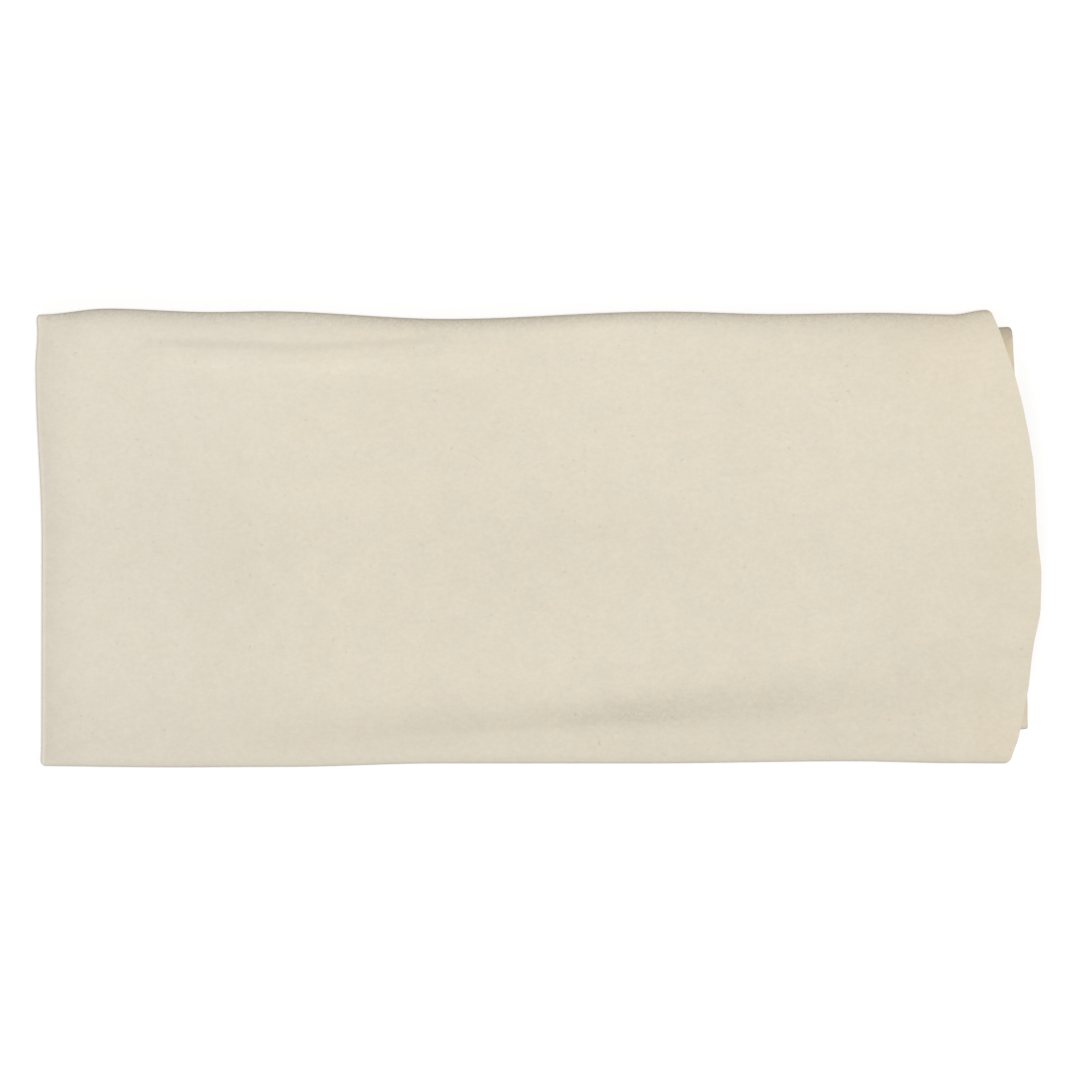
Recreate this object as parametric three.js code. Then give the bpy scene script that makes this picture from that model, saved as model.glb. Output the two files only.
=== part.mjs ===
// A chamois leather, folded up: one soft oil-tanned skin with its two long sides turned in over each
// other, then doubled over at its left end, so that six layers lie on each other.
// The skin is drawn as the panels between its folds and the folds that join them.
// Millimetres, +X along the strip to its cut ends, +Y to the back fold, +Z up, resting on z = 0.
// The origin is the middle of the underside's box.
import * as THREE from 'three';

// The folded strip, over everything
const FOLDED_LENGTH = 375.6;
const FOLDED_WIDTH = 171.4;

// The leather, the air between layers that are pressed together (the lower half, and all of them at
// the crosswise fold) or lie loose (the upper half), and the slit that parts a panel from its folds
const LEATHER = 0.9;
const PRESSED_GAP = 0.4;
const LOOSE_GAP = 2.4;
const FOLD_SLIT = 0.3;

// The crosswise fold is pressed to a blunt edge with these corners, and the upper half's layers come
// loose over this length from it
const BLUNT_CORNER = 1.3;
const PRESSED_LENGTH = 17;

// Where the loose upper half's folds turn: the width of the soft roll over each, and the level of its
// outermost line as a share of the height between the layers that it joins
const BACK_ROLL_WIDTH = 9;
const FRONT_ROLL_WIDTH = 6;
const BACK_FOLD_LEVEL = 0.36;
const FRONT_FOLD_LEVEL = 0.5;

// How far each flap stops short of the opposite fold, and how wide it is left at the cut ends
const BACK_FLAP_MARGIN = 13;
const FRONT_FLAP_MARGIN = 11;
const FLAP_END_WIDTH = 8;
const FLAP_CURVE = 4;

// How far the back flaps sink beside their fold, where the front flap is missing under them, in layers
const UPPER_FLAP_SINK = 0.9;
const LOWER_FLAP_SINK = 0.8;

// The crease behind the front roll, where the upper panel sinks to its loose flaps: how far behind the
// front fold it is steepest, how deep and wide it is, and over what width the panel rises again.
// It runs away from the front fold, and gets wider, towards the cut end.
const CREASE_START = 9.5;
const CREASE_END = 31.5;
const CREASE_DEPTH = 2;
const CREASE_WIDTH = 11;
const CREASE_END_WIDTH = 26;
const CREASE_RECOVERY = 60;

// The upper cut end: how far and along what curve it falls back at the two folds from its furthest
// point, and how the shears wavered, as [share of the way across, reach]
const UPPER_END_BACK_DROP = 18;
const UPPER_END_BACK_CURVE = 2.67;
const UPPER_END_FRONT_DROP = 10.5;
const UPPER_END_FRONT_CURVE = 1.07;
const UPPER_END_PEAK_SHARE = 0.333;
const UPPER_END_WAVER = [
  [0, -3.5], [0.02, -1.2], [0.06, 0], [0.17, 0], [0.25, -0.9], [0.41, 0], [0.52, -1.1], [0.7, -0.3],
  [0.8, -0.6], [0.985, -0.9], [1, -3],
];

// The lower strip tapers, so that its cut end peeps out at the two right corners only
const LOWER_END_BACK_DROP = 11.2;
const LOWER_END_FRONT_DROP = 5.3;
const LOWER_END_BULGE = 1;
const LOWER_BACK_TAPER = 5.5;
const LOWER_FRONT_TAPER = 11.7;

// How far the wavy edges draw in from the box, as [share of the way along, inset]
const BACK_EDGE = [[0, 2], [0.1, 0], [0.42, 3.3], [0.63, 0.7], [0.82, 1.6], [0.97, 0.1], [1, 0.2]];
const FRONT_EDGE = [[0, 0.5], [0.12, 0], [0.42, 1.5], [0.81, 2], [1, 1.3]];
const LEFT_EDGE = [[0, 2.1], [0.25, 2.2], [0.9, 0], [1, 1.1]];

const HALF_SLIT = FOLD_SLIT / 2;
const PRESSED_PITCH = LEATHER + PRESSED_GAP;
const LOOSE_PITCH = LEATHER + LOOSE_GAP;
// Heights of the pressed layers' middles from the plane between the two halves
const FRONT_FLAP_RISE = PRESSED_PITCH / 2;
const OUTER_BEND = FRONT_FLAP_RISE + 2 * PRESSED_PITCH;
const MIDDLE_HEIGHT = OUTER_BEND + LEATHER / 2;
// A panel ends where its roll has turned this far down from level, and the fold goes on from there
const FOLD_FROM = Math.PI / 3;

const { clamp, lerp, smoothstep } = THREE.MathUtils;

// Eases from one listed value to the next
function between(stations, share) {
  const s = clamp(share, 0, 1);
  const next = Math.max(1, stations.findIndex(([at]) => at >= s));
  const [fromAt, from] = stations[next - 1];
  const [toAt, to] = stations[next];
  return lerp(from, to, smoothstep(s, fromAt, toAt));
}

// The two halves of the strip. share runs along the strip from the crosswise fold to the cut end,
// and across runs over it from the front fold's outermost line to the back one's.
const upper = {
  side: 1,
  loosePitch: LOOSE_PITCH,
  flapSink: UPPER_FLAP_SINK,
  backLevel: BACK_FOLD_LEVEL,
  frontLevel: FRONT_FOLD_LEVEL,
  backRoll: BACK_ROLL_WIDTH,
  frontRoll: FRONT_ROLL_WIDTH,
  backTaper: 0,
  frontTaper: 0,
  creaseDepth: CREASE_DEPTH,
  endDrop: (across) => {
    const past = across - UPPER_END_PEAK_SHARE;
    const drop = past > 0
      ? UPPER_END_BACK_DROP * (past / (1 - UPPER_END_PEAK_SHARE)) ** UPPER_END_BACK_CURVE
      : UPPER_END_FRONT_DROP * (-past / UPPER_END_PEAK_SHARE) ** UPPER_END_FRONT_CURVE;
    return drop - between(UPPER_END_WAVER, across);
  },
};
const lower = {
  side: -1,
  loosePitch: PRESSED_PITCH,
  flapSink: LOWER_FLAP_SINK,
  backLevel: 0.5,
  frontLevel: 0.5,
  backRoll: 0,
  frontRoll: 0,
  backTaper: LOWER_BACK_TAPER,
  frontTaper: LOWER_FRONT_TAPER,
  creaseDepth: 0,
  endDrop: (across) => lerp(LOWER_END_FRONT_DROP, LOWER_END_BACK_DROP, across)
    - LOWER_END_BULGE * Math.sin(Math.PI * across),
};

// Steepest at the crosswise fold, then ever more gently
function loose(share) {
  return 1 - (1 - Math.min(1, share * FOLDED_LENGTH / PRESSED_LENGTH)) ** 2;
}

// A lengthwise fold in section: the place of its outermost line, the reach of the round part under it,
// and the height and width of the roll over it, which is round too where the layers are pressed
function foldSection(y, top, flap, level, roll, slack) {
  const rise = lerp(flap, top, lerp(0.5, level, slack));
  const over = top - rise;
  return { y, rise, under: rise - flap, over, roll: Math.max(over, lerp(over, roll, slack)) };
}

function section(half, share) {
  const slack = loose(share);
  const pitch = lerp(PRESSED_PITCH, half.loosePitch, slack);
  const top = FRONT_FLAP_RISE + 2 * pitch;
  const flapSink = half.flapSink * pitch * slack;
  const backFlap = FRONT_FLAP_RISE + pitch - flapSink;
  const middle = (FOLDED_WIDTH - LEATHER) / 2;
  const backY = middle - between(BACK_EDGE, share) - half.backTaper * share ** 2;
  const frontY = between(FRONT_EDGE, share) + half.frontTaper * share ** 2 - middle;
  const back = foldSection(backY, top, backFlap, half.backLevel, half.backRoll, slack);
  const front = foldSection(frontY, top, FRONT_FLAP_RISE, half.frontLevel, half.frontRoll, slack);
  const room = back.y - back.under - front.y - front.under;
  // A flap keeps its width for most of the strip and rounds off towards the cut end
  const kept = Math.sqrt(Math.max(0, 1 - share ** FLAP_CURVE));
  return {
    top, pitch, flapSink, back, front,
    backFlapWidth: lerp(FLAP_END_WIDTH, room - BACK_FLAP_MARGIN, kept),
    frontFlapWidth: lerp(FLAP_END_WIDTH, room - FRONT_FLAP_MARGIN, kept),
    across: (y) => (y - front.y) / (back.y - front.y),
  };
}

function overRoll({ over, roll }, inward) {
  const near = Math.max(0, 1 - inward / roll);
  return over * (1 - Math.sqrt(Math.max(0, 1 - near ** 2)));
}

// Steepest near its start, then ever more gently to its foot
function crease(half, share, y, front) {
  const width = lerp(CREASE_WIDTH, CREASE_END_WIDTH, smoothstep(share, 0.55, 0.95));
  const start = front.y + lerp(CREASE_START, CREASE_END, share ** 2) - 0.3 * width;
  const foot = start + width;
  const fallen = smoothstep(clamp((y - start) / width, 0, 1) ** 0.75, 0, 1);
  const depth = half.creaseDepth * smoothstep(share, 0.1, 0.45);
  return depth * fallen * (1 - smoothstep(y, foot, foot + CREASE_RECOVERY));
}

// Places in the section of a half: the middle of the leather, as a rise from the plane between the
// halves, and where across the strip its cut end is measured
function onPanel(half, share, v) {
  const here = section(half, share);
  const { top, back, front } = here;
  const turned = 1 - Math.sin(FOLD_FROM);
  const y = lerp(front.y + front.roll * turned, back.y - back.roll * turned, v);
  const rolls = overRoll(back, back.y - y) + overRoll(front, y - front.y);
  const across = here.across(y);
  return { y, rise: top - rolls - crease(half, share, y, front), across, endAcross: across };
}

function roundFold({ y, rise, under, over, roll }, inward, v) {
  const fromSlit = HALF_SLIT / Math.hypot(roll * Math.cos(FOLD_FROM), over * Math.sin(FOLD_FROM));
  const angle = lerp(FOLD_FROM + fromSlit, Math.PI - HALF_SLIT / under, v);
  const wide = angle < Math.PI / 2 ? roll : under;
  const high = angle < Math.PI / 2 ? over : under;
  return { y: y + inward * wide * (1 - Math.sin(angle)), rise: rise + high * Math.cos(angle) };
}

function onBackFold(half, share, v) {
  const { back, across } = section(half, share);
  const place = roundFold(back, -1, v);
  return { ...place, across: across(place.y), endAcross: 1 };
}

function onFrontFold(half, share, v) {
  const { front, across } = section(half, share);
  const place = roundFold(front, 1, v);
  return { ...place, across: across(place.y), endAcross: 0 };
}

function onBackFlap(half, share, v) {
  const { back, pitch, flapSink, backFlapWidth, across } = section(half, share);
  const reach = v * backFlapWidth;
  const y = back.y - back.under - reach;
  const sunk = flapSink * (1 - smoothstep(reach, 0, FRONT_FLAP_MARGIN));
  return { y, rise: FRONT_FLAP_RISE + pitch - sunk, across: across(y), endAcross: 1 };
}

function onFrontFlap(half, share, v) {
  const { front, frontFlapWidth, across } = section(half, share);
  const y = front.y + front.under + v * frontFlapWidth;
  return { y, rise: FRONT_FLAP_RISE, across: across(y), endAcross: 0 };
}

// Where a layer leaves the crosswise fold: the outer layers turn furthest to the left
function bendStart({ across, rise }) {
  const leftmost = -FOLDED_LENGTH / 2 + between(LEFT_EDGE, across) + LEATHER / 2 + OUTER_BEND - rise;
  return leftmost + Math.min(rise, BLUNT_CORNER);
}

function alongHalf(place, half, share, v) {
  const { y, rise, endAcross } = place(half, share, v);
  const end = FOLDED_LENGTH / 2 - half.endDrop(endAcross);
  const x = lerp(bendStart(place(half, 0, v)), end, share);
  return new THREE.Vector3(x, y, MIDDLE_HEIGHT + half.side * rise);
}

// The crosswise fold carries the pressed section from the lower half to the upper: round a corner, up,
// and round another corner
function roundLeft(place, turn, v) {
  const start = place(upper, 0, v);
  const radius = Math.min(start.rise, BLUNT_CORNER);
  const wall = start.rise - radius;
  const halfWay = wall + radius * Math.PI / 2;
  const way = lerp(HALF_SLIT - halfWay, halfWay - HALF_SLIT, turn);
  const angle = Math.max(0, Math.abs(way) - wall) / radius;
  const up = Math.min(wall, Math.abs(way)) + radius * Math.sin(angle);
  const x = bendStart(start) - radius * Math.cos(angle);
  return new THREE.Vector3(x, start.y, MIDDLE_HEIGHT + Math.sign(way) * up);
}

// Even steps from one value to another, or steps that crowd at the first or the last
function steps(count, from, to, ease = (t) => t) {
  return Array.from({ length: count + 1 }, (_, i) => lerp(from, to, ease(i / count)));
}
const crowdFirst = (t) => 1 - Math.cos(Math.PI * t / 2);
const crowdLast = (t) => Math.sin(Math.PI * t / 2);

// A sheet of leather round a grid of points in its middle: two faces and a rim, closed
function leatherSheet(us, vs, place) {
  const nudge = 1e-4;
  const rows = vs.length;
  const positions = [];
  for (const sign of [1, -1]) {
    for (const u of us) {
      for (const v of vs) {
        const alongU = place(Math.min(1, u + nudge), v).sub(place(Math.max(0, u - nudge), v));
        const alongV = place(u, Math.min(1, v + nudge)).sub(place(u, Math.max(0, v - nudge)));
        const normal = alongU.cross(alongV).normalize();
        positions.push(...place(u, v).addScaledVector(normal, sign * LEATHER / 2).toArray());
      }
    }
  }
  const faces = [];
  const under = us.length * rows;
  const quad = (a, b, c, d) => faces.push(a, b, c, a, c, d);
  const index = (i, j) => i * rows + j;
  for (let i = 0; i < us.length - 1; i++) {
    for (let j = 0; j < rows - 1; j++) {
      const corners = [index(i, j), index(i + 1, j), index(i + 1, j + 1), index(i, j + 1)];
      quad(...corners);
      quad(...corners.map((corner) => corner + under).reverse());
    }
  }
  const lastRow = rows - 1;
  const lastColumn = us.length - 1;
  const rim = [
    ...us.map((_, i) => index(i, 0)),
    ...vs.slice(1).map((_, j) => index(lastColumn, j + 1)),
    ...us.slice(1).map((_, i) => index(lastColumn - i - 1, lastRow)),
    ...vs.slice(1, -1).map((_, j) => index(0, lastRow - j - 1)),
  ];
  rim.forEach((corner, k) => {
    const next = rim[(k + 1) % rim.length];
    quad(corner, corner + under, next + under, next);
  });
  const geometry = new THREE.BufferGeometry();
  geometry.setAttribute('position', new THREE.Float32BufferAttribute(positions, 3));
  geometry.setIndex(faces);
  geometry.computeVertexNormals();
  return geometry;
}

const chamoisLeather = new THREE.Group();

function addSheet(name, us, vs, place) {
  const material = new THREE.MeshStandardMaterial({ color: 0xdfd7c5, roughness: 0.95, metalness: 0 });
  const mesh = new THREE.Mesh(leatherSheet(us, vs, place), material);
  mesh.name = name;
  chamoisLeather.add(mesh);
}

// Rows across each panel and fold, shared by the halves and the bend between them: closer over the
// front roll, the crease and the back roll
const slitAcross = HALF_SLIT / FOLDED_WIDTH;
const frontRollShare = FRONT_ROLL_WIDTH / FOLDED_WIDTH;
const creaseShare = (CREASE_END + CREASE_END_WIDTH / 2) / FOLDED_WIDTH;
const backRollShare = 1 - BACK_ROLL_WIDTH / FOLDED_WIDTH;
const panelRows = [
  ...steps(3, slitAcross, frontRollShare, crowdFirst),
  ...steps(8, frontRollShare, creaseShare).slice(1),
  ...steps(6, creaseShare, backRollShare).slice(1),
  ...steps(4, backRollShare, 1 - slitAcross, crowdLast).slice(1),
];
const sunkShare = FRONT_FLAP_MARGIN / (FOLDED_WIDTH - BACK_FLAP_MARGIN);
const backFlapRows = [...steps(4, slitAcross, sunkShare), ...steps(3, sunkShare, 1).slice(1)];
const frontFlapRows = steps(4, slitAcross, 1);
const foldRows = steps(5, 0, 1);
const sheets = [
  ['panel', onPanel, panelRows],
  ['back_fold', onBackFold, foldRows],
  ['back_flap', onBackFlap, backFlapRows],
  ['front_fold', onFrontFold, foldRows],
  ['front_flap', onFrontFlap, frontFlapRows],
];

// Columns along a half: a few where its layers come loose, then closer towards the cut end
function columns(count) {
  const pressed = PRESSED_LENGTH / FOLDED_LENGTH;
  return [...steps(4, HALF_SLIT / FOLDED_LENGTH, pressed), ...steps(count, pressed, 1, crowdLast).slice(1)];
}

for (const [half, name, along] of [[upper, 'upper', columns(18)], [lower, 'lower', columns(8)]]) {
  for (const [sheet, place, rows] of sheets) {
    addSheet(`${name}_${sheet}`, along, rows, (share, v) => alongHalf(place, half, share, v));
  }
}

// The crosswise fold, one bend inside the other, with the corners where the folds cross
const bends = [
  ['left_panel_bend', onPanel, panelRows],
  ['left_back_flap_bend', onBackFlap, backFlapRows],
  ['left_front_flap_bend', onFrontFlap, frontFlapRows],
  ['left_back_corner', onBackFold, foldRows],
  ['left_front_corner', onFrontFold, foldRows],
];
for (const [name, place, rows] of bends) {
  addSheet(name, steps(10, 0, 1), rows, (turn, v) => roundLeft(place, turn, v));
}

export default chamoisLeather;
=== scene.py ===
"""The looks of a folded chamois leather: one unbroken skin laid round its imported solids, its suede,
and a plain white studio with the camera straight above. Metres, +X to the cut ends, +Y to the back."""

import math
from types import SimpleNamespace

import bpy
import numpy as np
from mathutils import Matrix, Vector, noise


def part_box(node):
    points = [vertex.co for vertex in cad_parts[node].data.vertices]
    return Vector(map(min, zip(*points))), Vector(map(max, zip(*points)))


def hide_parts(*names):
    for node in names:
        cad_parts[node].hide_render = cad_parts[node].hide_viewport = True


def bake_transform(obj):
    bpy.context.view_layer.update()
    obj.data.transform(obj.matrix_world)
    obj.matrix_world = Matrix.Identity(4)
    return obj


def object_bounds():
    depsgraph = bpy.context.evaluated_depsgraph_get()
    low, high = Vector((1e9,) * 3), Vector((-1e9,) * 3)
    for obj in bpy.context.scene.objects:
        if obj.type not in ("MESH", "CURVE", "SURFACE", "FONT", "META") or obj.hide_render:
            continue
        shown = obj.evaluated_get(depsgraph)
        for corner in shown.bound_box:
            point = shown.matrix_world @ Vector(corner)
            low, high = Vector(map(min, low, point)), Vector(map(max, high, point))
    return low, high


# The picture: the strip takes up this share of its width
STRIP_SHARE_OF_PICTURE = 0.9353
LENS_MM = 180
SENSOR_MM = 36

# How far the strip's wavy edges draw in from its box, as (share of the way along, inset), and for the
# left edge as (share of the way across, inset)
BACK_EDGE = ((0, 0.0020), (0.07, -0.0002), (0.18, 0.0011), (0.24, 0.0008), (0.43, 0.0037), (0.66, 0.0009),
             (0.78, 0.0019), (0.885, 0.0014), (0.965, 0.0020), (1, 0.0003))
FRONT_EDGE = ((0, 0.0006), (0.13, 0.0002), (0.25, 0.0004), (0.41, 0.0017), (0.62, 0.0017), (0.84, 0.0025),
              (0.95, 0.0018), (1, 0.0017))
LEFT_EDGE = ((0, 0.0018), (0.05, 0.0021), (0.5, 0.0022), (0.89, -0.0001), (0.96, 0.0006), (1, 0.0003))

# The upper cut end: how far and along what curve it falls back at the two folds from its furthest
# point, and how the shears wavered, as (share of the way across, reach)
UPPER_END_BACK_DROP = 0.0180
UPPER_END_BACK_CURVE = 2.67
UPPER_END_FRONT_DROP = 0.0105
UPPER_END_FRONT_CURVE = 1.07
UPPER_END_PEAK_SHARE = 0.333
UPPER_END_WAVER = ((0, -0.0012), (0.06, 0), (0.17, 0), (0.25, -0.0009), (0.41, 0), (0.52, -0.0013),
                   (0.7, -0.0005), (0.8, -0.0006), (1, -0.0009))

# The lower cut end: how far it falls back at the two folds, and how far it bulges between them. The lower
# strip tapers too, so that this end peeps out at the two right corners only.
LOWER_END_BACK_DROP = 0.0103
LOWER_END_FRONT_DROP = 0.0043
LOWER_END_BULGE = 0.0010
LOWER_BACK_TAPER = 0.0061
LOWER_FRONT_TAPER = 0.0126

# Both cut ends: the radii of their back and front corners, and how ragged the leather is there
UPPER_END_CORNERS = (0.0014, 0.0022)
LOWER_END_CORNERS = (0.0014, 0.0008)
RAGGED_REACH = 0.00015
RAGGED_LENGTH = 0.005
RAGGED_SEED = 5.5

# The crosswise fold is pressed to a blunt edge with these corners, and the upper half's layers come
# loose over this length from it
BLUNT_CORNER = 0.0006
PRESSED_LENGTH = 0.017

# Where the loose upper half's folds turn: the width of the soft roll over each, as (share of the way
# along, width), and the level of its outermost line as a share of the height between the layers it joins.
# A pressed fold is round, with no roll.
BACK_ROLL_WIDTH = ((0, 0.009), (0.28, 0.009), (0.46, 0.006), (0.62, 0.006), (0.70, 0.009), (0.80, 0.012),
                   (1, 0.0125))
FRONT_ROLL_WIDTH = ((0, 0.006), (1, 0.006))
NO_ROLL = ((0, 0), (1, 0))
BACK_FOLD_LEVEL = 0.36
FRONT_FOLD_LEVEL = 0.5
ROUND_FOLD_LEVEL = 0.5

# How far each flap stops short of the opposite fold, how wide it is left at the cut ends, along what
# curve it narrows to that, and how far the back flaps sink beside their fold, in layers
BACK_FLAP_MARGIN = 0.013
FRONT_FLAP_MARGIN = 0.011
FLAP_END_WIDTH = 0.008
FLAP_CURVE = 4
UPPER_FLAP_SINK = 0.9
LOWER_FLAP_SINK = 0.8

# The crease behind the front roll, where the upper panel sinks to its loose flaps: how far behind the
# front fold its line runs, how deep and wide it is, over what width the panel rises again, and over what
# shares of the way along it deepens and widens. It starts this share of its width in front of its line,
# and falls along a curve that is steepest near it.
CREASE_START = 0.0095
CREASE_END = 0.0315
CREASE_DEPTH = 0.0020
CREASE_WIDTH = 0.011
CREASE_END_WIDTH = 0.026
CREASE_RECOVERY = 0.060
CREASE_DEEPENS = (0.1, 0.45)
CREASE_WIDENS = (0.55, 0.95)
CREASE_LEAD = 0.3
CREASE_CURVE = 0.75

# Painted shade in the crease, as (share of the way along, change of brightness), and where across it this
# sets in, is deepest and ends, in widths from its line
CREASE_PAINTED_SHADE = ((0.15, 0), (0.30, -0.014), (0.48, -0.024), (0.61, -0.072), (0.72, -0.042), (0.85, -0.022),
               (1, -0.020))
CREASE_SHADE_BAND = (-0.75, -0.05, 1.2)

# The long low ridge in front of the back roll: its crest, as (x, y), where it rises and dies out, and the
# painted shade on its back slope and painted highlight on its front one, this share of their widths from the
# crest
RIDGE_CREST = ((-0.150, 0.0708), (-0.110, 0.0698), (-0.084, 0.0688), (-0.066, 0.0697), (-0.050, 0.0706),
               (-0.024, 0.0724))
RIDGE_HEIGHT = 0.0010
RIDGE_BACK_WIDTH = 0.0045
RIDGE_FRONT_WIDTH = 0.009
RIDGE_RISES = (-0.155, -0.128)
RIDGE_DIES = (-0.040, -0.016)
RIDGE_PAINTED_SHADE = -0.010
RIDGE_PAINTED_HIGHLIGHT = 0.024
RIDGE_PAINTING_SHARE = 0.6

# Small wrinkles that run in from the upper cut end, as (y, height, half width, length)
WRINKLES = (
    (-0.0050, 0.0006, 0.0022, 0.020),
    (-0.0230, -0.0005, 0.0030, 0.028),
    (-0.0460, 0.0004, 0.0035, 0.040),
)

# The upper panel's uneven swelling, as (height, length, width, seed), and where it sets in: distances from
# its two lengthwise folds, and shares of the way along from the crosswise one
SWELLS = ((0.0009, 0.085, 0.060, 3.1), (0.0003, 0.030, 0.022, 7.7))
SWELLS_FROM_BACK = (0.003, 0.025)
SWELLS_FROM_FRONT = (0.003, 0.015)
SWELLS_FROM_LEFT = (0, 0.1)

# Painted light and shade inwards from the folds, as (distance, change): a painted highlight at the front and
# left edges themselves, painted shade beside the front and back ones, and a broad painted darkening towards
# the front. The crosswise fold gets its painted highlight over this part of its turn, which runs from -1 at
# the lower half to 1 at the upper one.
FRONT_PAINTED_SHADING = ((0, 0.070), (0.0008, 0), (0.002, -0.058), (0.005, -0.066), (0.016, -0.050), (0.035, -0.022),
              (0.075, -0.022), (0.110, 0), (0.150, 0.008), (0.170, 0))
BACK_PAINTED_SHADE = ((0, -0.020), (0.006, 0))
LEFT_PAINTED_HIGHLIGHT = ((0, 0.160), (0.0003, 0.150), (0.0007, 0.050), (0.0012, 0.020), (0.002, 0))
LEFT_HIGHLIGHT_TURNS = (0, 0.6)

# The nap stands in tufts beside the back fold, as (distance, share), and in the crease, as a share for each
# unit of painted shade there
BACK_TUFTS = ((0, 1), (0.0010, 0.9), (0.0035, 0.45), (0.0060, 0.15), (0.010, 0))
CREASE_TUFTS = 6

# Soft stains on the upper panel, as (x, y, radius, change of brightness)
STAINS = (
    (-0.114, -0.012, 0.022, -0.014),
    (-0.134, 0.016, 0.016, -0.012),
    (-0.045, 0.065, 0.012, -0.020),
    (0.003, -0.009, 0.024, -0.015),
    (0.050, -0.009, 0.014, -0.012),
    (0.166, 0.018, 0.013, -0.030),
    (0.174, -0.012, 0.014, -0.022),
    (-0.100, -0.040, 0.030, -0.008),
    (-0.090, 0.050, 0.026, 0.012),
    (0.019, 0.042, 0.024, 0.008),
    (0.120, 0.020, 0.035, 0.008),
    (-0.067, -0.054, 0.018, 0.012),
    (0.027, 0.083, 0.018, 0.025),
    (0.134, 0.082, 0.018, -0.030),
)

# Faint lines that are left of old folds, as (ends' x and y, half width, change of brightness). Each fades
# over this share of its length at both ends.
OLD_FOLDS = (
    (0.012, -0.0490, 0.056, -0.0468, 0.0016, -0.020),
    (-0.002, 0.0055, 0.030, 0.0000, 0.0014, -0.012),
    (0.014, 0.0010, 0.044, -0.0040, 0.0012, -0.012),
    (0.090, -0.0340, 0.128, -0.0270, 0.0030, 0.012),
    (-0.052, -0.0300, -0.022, -0.0330, 0.0016, -0.010),
    (0.138, -0.0430, 0.184, -0.0310, 0.0016, -0.014),
    (0.150, -0.0330, 0.186, -0.0250, 0.0014, -0.010),
    (0.160, 0.0360, 0.168, 0.0720, 0.0020, 0.010),
)
OLD_FOLD_FADE = 0.3

# How warm the cream is, with 0 for the cool and 1 for the warm one: along the strip, as (x, warmth), and
# in patches, as (x, y, radius, change)
COOL_CREAM = (0.756, 0.704, 0.597, 1)
WARM_CREAM = (0.775, 0.698, 0.555, 1)
WARMTH = ((-0.170, 0.18), (-0.050, 0.52), (0.120, 0.52), (0.190, 0.75))
WARM_PATCHES = (
    (-0.115, 0.074, 0.030, -0.15),
    (0.150, 0.074, 0.026, 0.35),
    (0.172, -0.006, 0.018, 0.12),
    (0.174, -0.074, 0.014, 0.35),
)

# The lower strip's back corner has painted shade, where the upper half shades it and its fold turns away, and
# a warmer cream, as (distance from the fold, change of brightness or warmth), from and to these shares of the
# way along
LOWER_BACK_PAINTED_SHADE = ((0, -0.300), (0.0026, -0.270), (0.0050, -0.075), (0.012, -0.050), (0.020, 0))
LOWER_BACK_WARMTH = ((0, 0.20), (0.0025, 0.50), (0.0050, 1.35), (0.010, 1.20), (0.018, 0))
LOWER_CORNER_SHARES = (0.90, 0.96)

# A speck in the suede: how many radii its outline strays for one unit of noise, how many units of noise
# go to a radius, and the share of its radius over which it is full
SPECK_STRAY = 2.5
SPECK_FINENESS = 0.4
SPECK_CORE = 0.3

# The white floor lies a little under the leather
FLOOR_SIZE = 12
FLOOR_DROP = 0.0002
WHITE = (1, 1, 1, 1)

# Rows of points across the skin: for each flap, for the round over and under each fold's outermost line,
# and for the panel, which ends at this angle on both rolls
FLAP_ROWS = 18
FOLD_ROWS_OVER = 4
FOLD_ROWS_UNDER = 8
PANEL_ROWS = 120
PANEL_ENDS_AT = math.radians(60)
# Columns of points along it: for each half, for each side of the crosswise fold, and for the gap between
# the halves, which takes up this share of the fold's turn
UPPER_COLUMNS = 170
LOWER_COLUMNS = 60
BEND_COLUMNS = 8
GAP_COLUMNS = 14
GAP_TURN = 0.2
# By what share of an even step the rows at the panel's edges and the columns at a half's ends lie closer
ROW_CROWDING = 0.45
COLUMN_CROWDING = 0.5
# Faces that meet at less than this angle are shaded as one
SMOOTH_ANGLE = math.radians(50)

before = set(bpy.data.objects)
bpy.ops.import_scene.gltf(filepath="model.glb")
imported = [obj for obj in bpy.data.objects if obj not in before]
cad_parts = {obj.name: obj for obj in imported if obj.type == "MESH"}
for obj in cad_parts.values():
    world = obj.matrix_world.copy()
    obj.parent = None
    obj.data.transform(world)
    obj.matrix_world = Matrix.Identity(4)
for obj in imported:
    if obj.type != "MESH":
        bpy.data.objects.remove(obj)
CAD_LOW, CAD_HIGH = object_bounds()

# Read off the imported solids: the leather's thickness, the plane between the halves, and the layers
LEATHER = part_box("lower_front_flap")[1].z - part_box("lower_front_flap")[0].z
LOWER_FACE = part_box("lower_front_flap")[1].z
UPPER_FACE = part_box("upper_front_flap")[0].z
PLANE = (LOWER_FACE + UPPER_FACE) / 2
HALF_GAP = (UPPER_FACE - LOWER_FACE) / 2
PRESSED_PITCH = LEATHER + 2 * HALF_GAP
FLAP_RISE = PRESSED_PITCH / 2
LOOSE_PITCH = (CAD_HIGH.z - LEATHER / 2 - PLANE - FLAP_RISE) / 2
OUTER_BEND = FLAP_RISE + 2 * PRESSED_PITCH
STRIP_LENGTH = CAD_HIGH.x - CAD_LOW.x
STRIP_HALF_WIDTH = (CAD_HIGH.y - CAD_LOW.y) / 2


def ease(value, start, stop):
    """A smooth step from 0 at start to 1 at stop."""
    t = np.clip((value - start) / (stop - start), 0, 1)
    return t * t * (3 - 2 * t)


def mix(first, second, share):
    return first + (second - first) * share


def between(stations, place):
    """The value at a place among listed (place, value) stations, easing from one to the next."""
    places, values = np.array(stations, float).T
    after = np.clip(np.searchsorted(places, place), 1, len(places) - 1)
    return mix(values[after - 1], values[after], ease(place, places[after - 1], places[after]))


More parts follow.
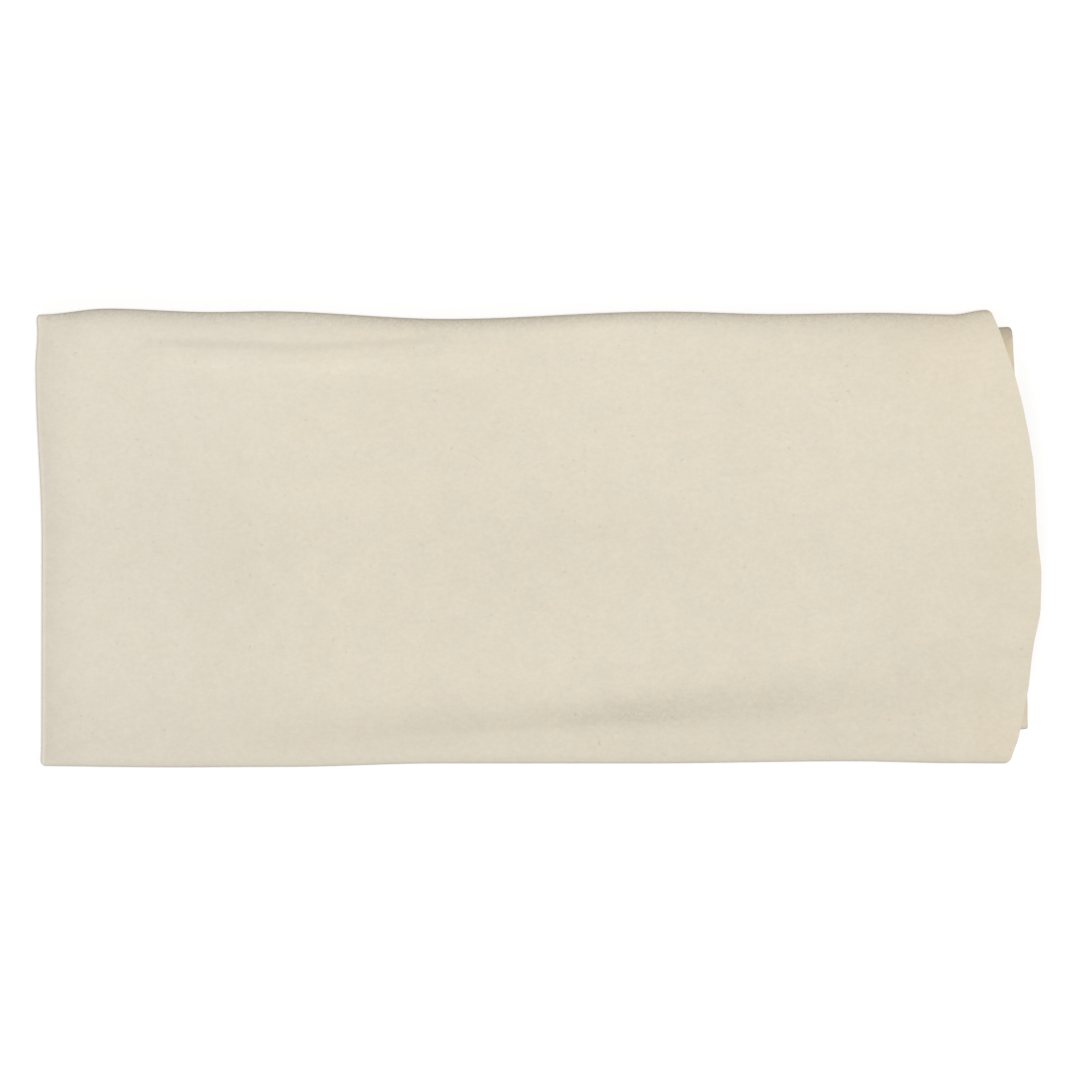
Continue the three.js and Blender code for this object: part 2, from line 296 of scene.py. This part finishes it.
def uneven(xs, ys, length, width, seed):
    """Soft unevenness from about -1 to 1 at each place, in patches of about this length and width."""
    places = zip(np.ravel(xs) / length, np.ravel(ys) / width)
    return np.array([noise.noise(Vector((x, y, seed))) for x, y in places])


def crowded(count, crowding):
    """Shares from 0 to 1 that crowd towards both ends."""
    t = np.linspace(0, 1, count)
    return t - crowding * np.sin(2 * np.pi * t) / (2 * np.pi)


def round_off(inward, width, height):
    """How far an edge that is round over this width and height falls off, this far in from it."""
    near = np.clip(1 - inward / width, 0, 1)
    return height * (1 - np.sqrt(1 - near**2))


# The cut ends
def round_corners(across, back, front):
    inward = across * 2 * STRIP_HALF_WIDTH
    return round_off(2 * STRIP_HALF_WIDTH - inward, back, back) + round_off(inward, front, front)


def upper_end_drop(across):
    past = across - UPPER_END_PEAK_SHARE
    back = UPPER_END_BACK_DROP * np.clip(past / (1 - UPPER_END_PEAK_SHARE), 0, 1) ** UPPER_END_BACK_CURVE
    front = UPPER_END_FRONT_DROP * np.clip(-past / UPPER_END_PEAK_SHARE, 0, 1) ** UPPER_END_FRONT_CURVE
    return back + front - between(UPPER_END_WAVER, across) + round_corners(across, *UPPER_END_CORNERS)


def lower_end_drop(across):
    slant = mix(LOWER_END_FRONT_DROP, LOWER_END_BACK_DROP, across)
    return slant - LOWER_END_BULGE * np.sin(np.pi * across) + round_corners(across, *LOWER_END_CORNERS)


# The two halves of the strip. share runs along it from the crosswise fold to the cut end, and across
# runs over it from the front fold's outermost line to the back one's.
upper = SimpleNamespace(
    side=1, end_drop=upper_end_drop, loose_pitch=LOOSE_PITCH, flap_sink=UPPER_FLAP_SINK, loosens=True,
    back_level=BACK_FOLD_LEVEL, back_roll=BACK_ROLL_WIDTH, back_taper=0,
    front_level=FRONT_FOLD_LEVEL, front_roll=FRONT_ROLL_WIDTH, front_taper=0)
lower = SimpleNamespace(
    side=-1, end_drop=lower_end_drop, loose_pitch=PRESSED_PITCH, flap_sink=LOWER_FLAP_SINK, loosens=False,
    back_level=ROUND_FOLD_LEVEL, back_roll=NO_ROLL, back_taper=LOWER_BACK_TAPER,
    front_level=ROUND_FOLD_LEVEL, front_roll=NO_ROLL, front_taper=LOWER_FRONT_TAPER)


def loose(share):
    """How far the layers have come apart: fastest at the crosswise fold."""
    return 1 - (1 - min(1, share * STRIP_LENGTH / PRESSED_LENGTH)) ** 2


# The lengthwise folds
def fold_section(y, top, flap, level, roll, slack):
    """A lengthwise fold: its outermost line, the round part under it and the soft roll over it."""
    rise = mix(flap, top, mix(ROUND_FOLD_LEVEL, level, slack))
    over = top - rise
    roll = max(over, mix(over, roll, slack))
    return SimpleNamespace(y=y, rise=rise, under=rise - flap, over=over, roll=roll)


def lengthwise_folds(half, share, top, back_flap, slack):
    """The back and the front fold of a half, which join its panel to its two flaps."""
    middle = STRIP_HALF_WIDTH - LEATHER / 2
    back_y = middle - between(BACK_EDGE, share) - half.back_taper * share**2
    front_y = between(FRONT_EDGE, share) + half.front_taper * share**2 - middle
    back = fold_section(back_y, top, back_flap, half.back_level, between(half.back_roll, share), slack)
    front = fold_section(front_y, top, FLAP_RISE, half.front_level, between(half.front_roll, share), slack)
    return back, front


def round_fold(fold, inward):
    """A fold's points, from the panel over its outermost line and back in to the flap."""
    over = np.linspace(PANEL_ENDS_AT, np.pi / 2, FOLD_ROWS_OVER + 1)[1:]
    under = np.linspace(np.pi / 2, np.pi, FOLD_ROWS_UNDER + 1)[1:]
    y = np.concatenate([fold.roll * (1 - np.sin(over)), fold.under * (1 - np.sin(under))])
    rise = np.concatenate([fold.over * np.cos(over), fold.under * np.cos(under)])
    return fold.y + inward * y, fold.rise + rise


# How the upper panel rises and falls between its folds
def crease_band(share, front_y):
    """Where the crease's line runs, and its width."""
    line = front_y + mix(CREASE_START, CREASE_END, share**2)
    return line, mix(CREASE_WIDTH, CREASE_END_WIDTH, ease(share, *CREASE_WIDENS))


def crease(share, y, front_y):
    """Steepest near its line, then ever more gently to its foot."""
    line, width = crease_band(share, front_y)
    foot = line + (1 - CREASE_LEAD) * width
    fallen = ease(np.clip((y - line) / width + CREASE_LEAD, 0, 1) ** CREASE_CURVE, 0, 1)
    risen = ease(y, foot, foot + CREASE_RECOVERY)
    return -CREASE_DEPTH * ease(share, *CREASE_DEEPENS) * fallen * (1 - risen)


def ridge(x, y):
    """The ridge's rise, as a share of its height."""
    off = y - between(RIDGE_CREST, x)
    width = np.where(off > 0, RIDGE_BACK_WIDTH, RIDGE_FRONT_WIDTH)
    return ease(x, *RIDGE_RISES) * (1 - ease(x, *RIDGE_DIES)) * (1 - ease(np.abs(off), 0, width))


def wrinkles(share, y):
    from_end = (1 - share) * STRIP_LENGTH
    return sum(height * np.exp(-(((y - place) / width) ** 2)) * (1 - ease(from_end, 0, length))
               for place, height, width, length in WRINKLES)


def swelling(share, x, y, back_y, front_y):
    swell = sum(height * uneven(np.full_like(y, x), y, length, width, seed)
                for height, length, width, seed in SWELLS)
    return swell * (ease(back_y - y, *SWELLS_FROM_BACK) * ease(y - front_y, *SWELLS_FROM_FRONT)
                    * ease(share, *SWELLS_FROM_LEFT))


def relief(share, y, back_y, front_y):
    x = mix(CAD_LOW.x, CAD_HIGH.x, share)
    return (crease(share, y, front_y) + RIDGE_HEIGHT * ridge(x, y) + wrinkles(share, y)
            + swelling(share, x, y, back_y, front_y))


# The folded skin
def panel(half, share, top, back, front, slack):
    """A half's outer face, which runs over both rolls to where the folds turn under."""
    turned = 1 - math.sin(PANEL_ENDS_AT)
    spread = crowded(PANEL_ROWS, ROW_CROWDING)
    y = mix(front.y + front.roll * turned, back.y - back.roll * turned, spread)
    rise = top - round_off(back.y - y, back.roll, back.over)
    rise -= round_off(y - front.y, front.roll, front.over)
    if half.loosens:
        rise = rise + slack * relief(share, y, back.y, front.y)
    return y, rise


def flap_width(room, margin, share):
    """A flap keeps its width for most of the strip and rounds off towards the cut end."""
    kept = math.sqrt(max(0.0, 1 - share**FLAP_CURVE))
    return mix(FLAP_END_WIDTH, room - margin, kept)


def section(half, share):
    """The folded skin across the strip, from the front flap's free edge to the back flap's: each point's
    place, its rise from the plane between the halves, and the share across where its end is measured."""
    slack = loose(share)
    pitch = mix(PRESSED_PITCH, half.loose_pitch, slack)
    top = FLAP_RISE + 2 * pitch
    flap_sink = half.flap_sink * pitch * slack
    back, front = lengthwise_folds(half, share, top, FLAP_RISE + pitch - flap_sink, slack)
    panel_y, panel_rise = panel(half, share, top, back, front, slack)
    back_fold_y, back_fold_rise = round_fold(back, -1)
    front_fold_y, front_fold_rise = round_fold(front, 1)

    # The flaps lie inside, and the back one sinks where the front one stops short under it
    back_start = back.y - back.under
    front_start = front.y + front.under
    room = back_start - front_start
    out = np.linspace(0, 1, FLAP_ROWS + 1)[1:]
    back_reach = out * flap_width(room, BACK_FLAP_MARGIN, share)
    front_reach = out * flap_width(room, FRONT_FLAP_MARGIN, share)
    sunk = flap_sink * (1 - ease(back_reach, 0, FRONT_FLAP_MARGIN))

    y = np.concatenate([(front_start + front_reach)[::-1], front_fold_y[::-1], panel_y, back_fold_y,
                        back_start - back_reach])
    rise = np.concatenate([np.full(FLAP_ROWS, FLAP_RISE), front_fold_rise[::-1], panel_rise, back_fold_rise,
                           FLAP_RISE + pitch - sunk])
    across = (y - front.y) / (back.y - front.y)
    folded_in = FLAP_ROWS + FOLD_ROWS_UNDER
    end_across = np.concatenate([np.zeros(folded_in), across[folded_in:-folded_in], np.ones(folded_in)])
    return SimpleNamespace(y=y, rise=rise, across=across, end_across=end_across)


pressed = section(upper, 0.0)
corner = np.minimum(pressed.rise, BLUNT_CORNER)
wall = pressed.rise - corner
bend_start = CAD_LOW.x + between(LEFT_EDGE, pressed.across) + LEATHER / 2 + OUTER_BEND - wall


def along_half(half, share):
    """A column of points across a half."""
    here = section(half, share)
    seed = RAGGED_SEED + half.side
    ragged = RAGGED_REACH * uneven(here.y, here.rise, RAGGED_LENGTH, RAGGED_LENGTH, seed)
    end = CAD_HIGH.x - half.end_drop(here.end_across) + ragged
    return np.stack([mix(bend_start, end, share), here.y, PLANE + half.side * here.rise], 1)


def round_left(turn):
    """A column of the crosswise fold, which carries the pressed section up: round a corner, up, and round
    another. turn goes from -1 to 1, with the gap between the halves in the middle part."""
    gap_way = np.where(wall > HALF_GAP, HALF_GAP,
                       wall + corner * np.arcsin(np.clip((HALF_GAP - wall) / corner, 0, 1)))
    half_way = wall + corner * np.pi / 2
    past_gap = np.clip((abs(turn) - GAP_TURN) / (1 - GAP_TURN), 0, 1)
    way = mix(gap_way * min(1, abs(turn) / GAP_TURN), half_way, past_gap)
    angle = np.maximum(0, way - wall) / corner
    up = np.minimum(wall, way) + corner * np.sin(angle)
    return np.stack([bend_start - corner * np.cos(angle), pressed.y, PLANE + math.copysign(1, turn) * up], 1)


# The skin's columns, from the lower cut end round the crosswise fold to the upper cut end
side_turns = np.linspace(1, GAP_TURN, BEND_COLUMNS + 1)[:-1]
turns = np.concatenate([-side_turns, np.linspace(-GAP_TURN, GAP_TURN, GAP_COLUMNS), side_turns[::-1]])
lower_shares = crowded(LOWER_COLUMNS + 1, COLUMN_CROWDING)[:0:-1]
upper_shares = crowded(UPPER_COLUMNS + 1, COLUMN_CROWDING)[1:]
columns = [along_half(lower, share) for share in lower_shares]
columns += [round_left(turn) for turn in turns]
columns += [along_half(upper, share) for share in upper_shares]
points = np.array(columns)
column_count, row_count = points.shape[:2]

# Where each point lay in the flat skin before it was folded: the leather's own coordinates
flat_along = np.zeros((column_count, row_count))
flat_across = np.zeros((column_count, row_count))
steps_along = np.diff(points, axis=0)
steps_across = np.diff(points, axis=1)
flat_along[1:] = np.cumsum(np.hypot(steps_along[..., 0], steps_along[..., 2]), 0)
flat_across[:, 1:] = np.cumsum(np.hypot(steps_across[..., 1], steps_across[..., 2]), 1)
flat_along -= flat_along[LOWER_COLUMNS + len(turns) // 2]
flat_across -= flat_across[:, row_count // 2:row_count // 2 + 1]


# What use has left on the skin
def spot(xs, ys, x, y, radius):
    """A soft round spot, 1 in its middle."""
    return np.exp(-((np.hypot(xs - x, ys - y) / radius) ** 2))


def old_fold(xs, ys, start_x, start_y, end_x, end_y, width):
    """A soft line, 1 along its middle, which fades towards both ends."""
    reach = np.hypot(end_x - start_x, end_y - start_y)
    run_x, run_y = (end_x - start_x) / reach, (end_y - start_y) / reach
    way = (xs - start_x) * run_x + (ys - start_y) * run_y
    off = (ys - start_y) * run_x - (xs - start_x) * run_y
    faded = OLD_FOLD_FADE * reach
    return ease(way, 0, faded) * (1 - ease(way, reach - faded, reach)) * np.exp(-((off / width) ** 2))


def crease_painted_shade(share, y, front_y):
    """How much painted shade the crease gets."""
    line, width = crease_band(share, front_y)
    off = (y - line) / width
    starts, deepest, ends = CREASE_SHADE_BAND
    return between(CREASE_PAINTED_SHADE, share) * ease(off, starts, deepest) * (1 - ease(off, deepest, ends))


upper_outside = np.s_[-UPPER_COLUMNS:, FLAP_ROWS:-FLAP_ROWS]
bend_outside = np.s_[LOWER_COLUMNS:-UPPER_COLUMNS, FLAP_ROWS:-FLAP_ROWS]
lower_half = np.s_[:LOWER_COLUMNS]
skin_x, skin_y = points[..., 0], points[..., 1]
shading_and_stains = np.zeros((column_count, row_count))
tufting = np.zeros((column_count, row_count))
warmths = between(WARMTH, skin_x)
for *patch, change in WARM_PATCHES:
    warmths += change * spot(skin_x, skin_y, *patch)

# The upper half's outside: painted light and shade along the folds, in the crease and on the ridge, stains,
# and old folds' lines
outside_x, outside_y = skin_x[upper_outside], skin_y[upper_outside]
front_edge = outside_y.min(1, keepdims=True)
from_back = outside_y.max(1, keepdims=True) - outside_y
left_edge = skin_x[:, FLAP_ROWS:-FLAP_ROWS].min(0)
crease_shade = crease_painted_shade(upper_shares[:, None], outside_y, front_edge)
# Painted highlights at the fold edges, painted shade beside them, and a broad painted darkening towards the
# front
outside_shading_and_stains = between(FRONT_PAINTED_SHADING, outside_y - front_edge) + between(BACK_PAINTED_SHADE, from_back)
outside_shading_and_stains += between(LEFT_PAINTED_HIGHLIGHT, outside_x - left_edge)
# Painted shade in the crease
outside_shading_and_stains += crease_shade
# Painted shade on the ridge's back slope and a painted highlight on its front one
outside_shading_and_stains += RIDGE_PAINTED_SHADE * ridge(outside_x, outside_y - RIDGE_PAINTING_SHARE * RIDGE_BACK_WIDTH)
outside_shading_and_stains += RIDGE_PAINTED_HIGHLIGHT * ridge(outside_x, outside_y + RIDGE_PAINTING_SHARE * RIDGE_FRONT_WIDTH)
for *stain, change in STAINS:
    outside_shading_and_stains += change * spot(outside_x, outside_y, *stain)
for *line, change in OLD_FOLDS:
    outside_shading_and_stains += change * old_fold(outside_x, outside_y, *line)
turned_under = np.minimum(1, np.arange(outside_y.shape[1]) / FOLD_ROWS_UNDER)
shading_and_stains[upper_outside] = outside_shading_and_stains * turned_under * turned_under[::-1]
tufting[upper_outside] = between(BACK_TUFTS, from_back) - CREASE_TUFTS * crease_shade

# The crosswise fold: a painted highlight along its edge
left_highlight_share = ease(turns[:, None], *LEFT_HIGHLIGHT_TURNS)
shading_and_stains[bend_outside] = between(LEFT_PAINTED_HIGHLIGHT, skin_x[bend_outside] - left_edge) * left_highlight_share

# The lower half's back corner: painted shade and a warmer cream
lower_y = skin_y[lower_half]
from_lower_back = lower_y.max(1, keepdims=True) - lower_y
near_end = ease(lower_shares[:, None], *LOWER_CORNER_SHARES)
shading_and_stains[lower_half] = between(LOWER_BACK_PAINTED_SHADE, from_lower_back) * near_end
warmths[lower_half] += between(LOWER_BACK_WARMTH, from_lower_back) * near_end

# The skin: a flat sheet, folded, then given its thickness
bpy.ops.object.select_all(action="DESELECT")
bpy.ops.mesh.primitive_grid_add(x_subdivisions=column_count - 1, y_subdivisions=row_count - 1, size=1)
skin = bpy.context.object
skin.name = skin.data.name = "chamois_skin"
vertex_count = len(skin.data.vertices)
grid = np.zeros(vertex_count * 3, np.float32)
skin.data.vertices.foreach_get("co", grid)
grid = grid.reshape(-1, 3)
column = np.rint((grid[:, 0] + 0.5) * (column_count - 1)).astype(int)
row = np.rint((grid[:, 1] + 0.5) * (row_count - 1)).astype(int)
skin.data.vertices.foreach_set("co", points[column, row].astype(np.float32).ravel())
skin.data.update()

thickness = skin.modifiers.new("thickness", "SOLIDIFY")
thickness.thickness = LEATHER
thickness.offset = 0
thickness.use_even_offset = True
bpy.ops.object.modifier_apply(modifier=thickness.name)
bpy.ops.object.shade_smooth_by_angle(angle=SMOOTH_ANGLE)

# Solidify copies the sheet's points in order, so the second face's coordinates are the first one's,
# the leather's thickness deeper
column, row = np.tile(column, 2), np.tile(row, 2)
depth = np.repeat([LEATHER / 2, -LEATHER / 2], vertex_count)
flat = np.stack([flat_along[column, row], flat_across[column, row], depth], 1)
lie = skin.data.attributes.new("lie", "FLOAT_VECTOR", "POINT")
lie.data.foreach_set("vector", flat.astype(np.float32).ravel())
for name, values in (("shading_and_stain_tone", shading_and_stains), ("warmth", warmths), ("tufting", tufting)):
    attribute = skin.data.attributes.new(name, "FLOAT", "POINT")
    attribute.data.foreach_set("value", values[column, row].astype(np.float32))


# Materials
def new_material(name):
    """A material and its shader."""
    material = bpy.data.materials.new(name)
    material.use_nodes = True
    return material, material.node_tree.nodes["Principled BSDF"]


def set_inputs(node, values):
    """Sets a node's inputs, by name or number, to values or joins them to other nodes' outputs."""
    for key, value in values.items():
        if isinstance(value, bpy.types.NodeSocket):
            node.id_data.links.new(value, node.inputs[key])
        else:
            node.inputs[key].default_value = value


class Nodes:
    """Short ways to add nodes to a material."""

    def __init__(self, material):
        self.tree = material.node_tree

    def add(self, kind, inputs, **settings):
        node = self.tree.nodes.new(kind)
        for name, value in settings.items():
            setattr(node, name, value)
        set_inputs(node, inputs)
        return node

    def attribute(self, name, output):
        return self.add("ShaderNodeAttribute", {}, attribute_name=name).outputs[output]

    def math(self, operation, *values):
        return self.add("ShaderNodeMath", dict(enumerate(values)), operation=operation).outputs[0]

    def vector_math(self, operation, inputs):
        return self.add("ShaderNodeVectorMath", inputs, operation=operation).outputs[0]

    def mapped(self, place, size, stretch, turn=0.0):
        """The leather's coordinates, counted in patches of this size."""
        scale = (1 / (size * stretch[0]), 1 / (size * stretch[1]), 1 / size)
        turned = self.add("ShaderNodeMapping", {"Vector": place, "Rotation": (0, 0, turn)})
        return self.add("ShaderNodeMapping", {"Vector": turned.outputs[0], "Scale": scale}).outputs[0]

    def mottling(self, place, size, detail, stretch=(1, 1)):
        """Soft patches about 0, up to about this size."""
        texture = self.add("ShaderNodeTexNoise", {"Vector": self.mapped(place, size, stretch), "Scale": 1.0,
                                                  "Detail": detail, "Roughness": 0.6})
        return self.math("SUBTRACT", texture.outputs[0], 0.5)

    def specks(self, place, spacing, radius, kept, stretch=(1, 1), turn=0.0):
        """Soft uneven spots of about this radius, in this share of the cells this far apart."""
        size = radius / spacing
        even = self.mapped(place, spacing, stretch, turn)
        strays = self.add("ShaderNodeTexNoise", {"Vector": even, "Scale": SPECK_FINENESS / size,
                                                 "Detail": 1.0})
        stray = self.vector_math("SUBTRACT", {0: strays.outputs["Color"], 1: (0.5, 0.5, 0.5)})
        strayed = self.vector_math("MULTIPLY_ADD", {0: stray, 1: (SPECK_STRAY * size,) * 3, 2: even})
        cells = self.add("ShaderNodeTexVoronoi", {"Vector": strayed, "Scale": 1.0}, voronoi_dimensions="2D")
        speck = self.add("ShaderNodeMapRange", {
            "Value": cells.outputs["Distance"], "From Min": SPECK_CORE * size, "From Max": size,
            "To Min": 1.0, "To Max": 0.0}, interpolation_type="SMOOTHSTEP")
        pick = self.add("ShaderNodeSeparateColor", {"Color": cells.outputs["Color"]}).outputs[0]
        return self.math("MULTIPLY", speck.outputs[0], self.math("LESS_THAN", pick, kept))

    def layered(self, start, patterns):
        """The start with patterns added to it, each as (pattern, strength)."""
        for pattern, strength in patterns:
            start = self.math("MULTIPLY_ADD", pattern, strength, start)
        return start


def chamois_suede():
    """Uneven cream with a brushed nap, pits, pores and stray fibres, which follow the flat skin."""
    suede, shader = new_material("chamois_suede")
    nodes = Nodes(suede)
    place = nodes.attribute("lie", "Vector")
    broad = nodes.mottling(place, size=0.070, detail=3)
    patches = nodes.mottling(place, size=0.010, detail=2)
    nap = nodes.mottling(place, size=0.0018, detail=3)
    brushed = nodes.mottling(place, size=0.0011, detail=2, stretch=(2, 1))
    pits = nodes.specks(place, spacing=0.0045, radius=0.00070, kept=0.04)
    pores = nodes.specks(place, spacing=0.0016, radius=0.00035, kept=0.30)
    fibres = nodes.specks(place, spacing=0.0060, radius=0.00050, kept=0.03, stretch=(4, 0.6), turn=0.6)
    tufts = nodes.mottling(place, size=0.0007, detail=1, stretch=(1, 1.2))
    tufts = nodes.math("MULTIPLY", tufts, nodes.attribute("tufting", "Fac"))
    warm_spots = nodes.mottling(place, size=0.012, detail=3)

    # The brightness starts from the painted light and shade of the folds, crease, ridge and lower corner, and
    # from the stains and old folds' lines
    brightness = nodes.layered(nodes.math("ADD", nodes.attribute("shading_and_stain_tone", "Fac"), 1.0), (
        (broad, 0.060), (patches, 0.065), (nap, 0.120), (brushed, 0.085), (pits, -0.085), (pores, -0.030),
        (fibres, -0.080), (tufts, 0.45)))
    warmth = nodes.layered(nodes.attribute("warmth", "Fac"), ((warm_spots, 0.8),))
    cream = nodes.add("ShaderNodeMix", {"Factor": warmth, "A": COOL_CREAM, "B": WARM_CREAM}, data_type="RGBA",
                      clamp_factor=False)
    colour = nodes.vector_math("SCALE", {0: cream.outputs["Result"], "Scale": brightness})
    height = nodes.layered(nap, ((brushed, 0.6), (pits, -0.5), (pores, -0.15)))
    bump = nodes.add("ShaderNodeBump", {"Strength": 0.5, "Distance": 0.00012, "Height": height})
    set_inputs(shader, {
        "Base Color": colour, "Normal": bump.outputs[0], "Roughness": 0.95, "Specular IOR Level": 0.15,
        "Sheen Weight": 0.12, "Sheen Roughness": 0.5, "Sheen Tint": (1, 0.95, 0.85, 1)})
    return suede


def white_acrylic():
    """Lit a little from below."""
    acrylic, shader = new_material("floor_white_acrylic")
    set_inputs(shader, {"Base Color": (0.92, 0.92, 0.92, 1), "Roughness": 0.9, "Emission Color": WHITE,
                        "Emission Strength": 0.18})
    return acrylic


skin.data.materials.clear()
skin.data.materials.append(chamois_suede())
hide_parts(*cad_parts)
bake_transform(skin)

# Floor
bpy.ops.object.select_all(action="DESELECT")
bpy.ops.mesh.primitive_plane_add(size=FLOOR_SIZE, location=(0, 0, -FLOOR_DROP))
bpy.ops.object.transform_apply(location=True, rotation=False, scale=False)
floor = bpy.context.object
floor.name = "floor"
floor.data.materials.append(white_acrylic())
floor.visible_diffuse = False

# Light
world = bpy.data.worlds.new("studio")
world.use_nodes = True
set_inputs(world.node_tree.nodes["Background"], {"Color": WHITE, "Strength": 0.3})
bpy.context.scene.world = world


def softbox(name, place, size, share):
    """A lamp turned to the middle of the strip. It lights a white card that faces it to this share of
    white."""
    light = bpy.data.lights.new(name, "AREA")
    light.shape = "RECTANGLE"
    light.size, light.size_y = size
    light.energy = share * (math.pi * Vector(place).length) ** 2
    box = bpy.data.objects.new(name, light)
    box.location = place
    box.rotation_euler = (-Vector(place)).to_track_quat("-Z", "Y").to_euler()
    box.visible_camera = False
    bpy.context.scene.collection.objects.link(box)


softbox("overhead_key", place=(0.25, 0, 4.0), size=(0.8, 0.8), share=0.63)
softbox("front_fill", place=(-0.6, -2.1, 1.3), size=(1.6, 0.8), share=0.14)

# Camera
camera = bpy.data.objects.new("camera", bpy.data.cameras.new("camera"))
bpy.context.scene.collection.objects.link(camera)
camera.data.lens = LENS_MM
camera.data.sensor_width = SENSOR_MM
picture_width = STRIP_LENGTH / STRIP_SHARE_OF_PICTURE
camera.location = (0, 0, CAD_HIGH.z + picture_width * LENS_MM / SENSOR_MM)
bpy.context.scene.camera = camera
bpy.context.scene.view_settings.view_transform = "Standard"
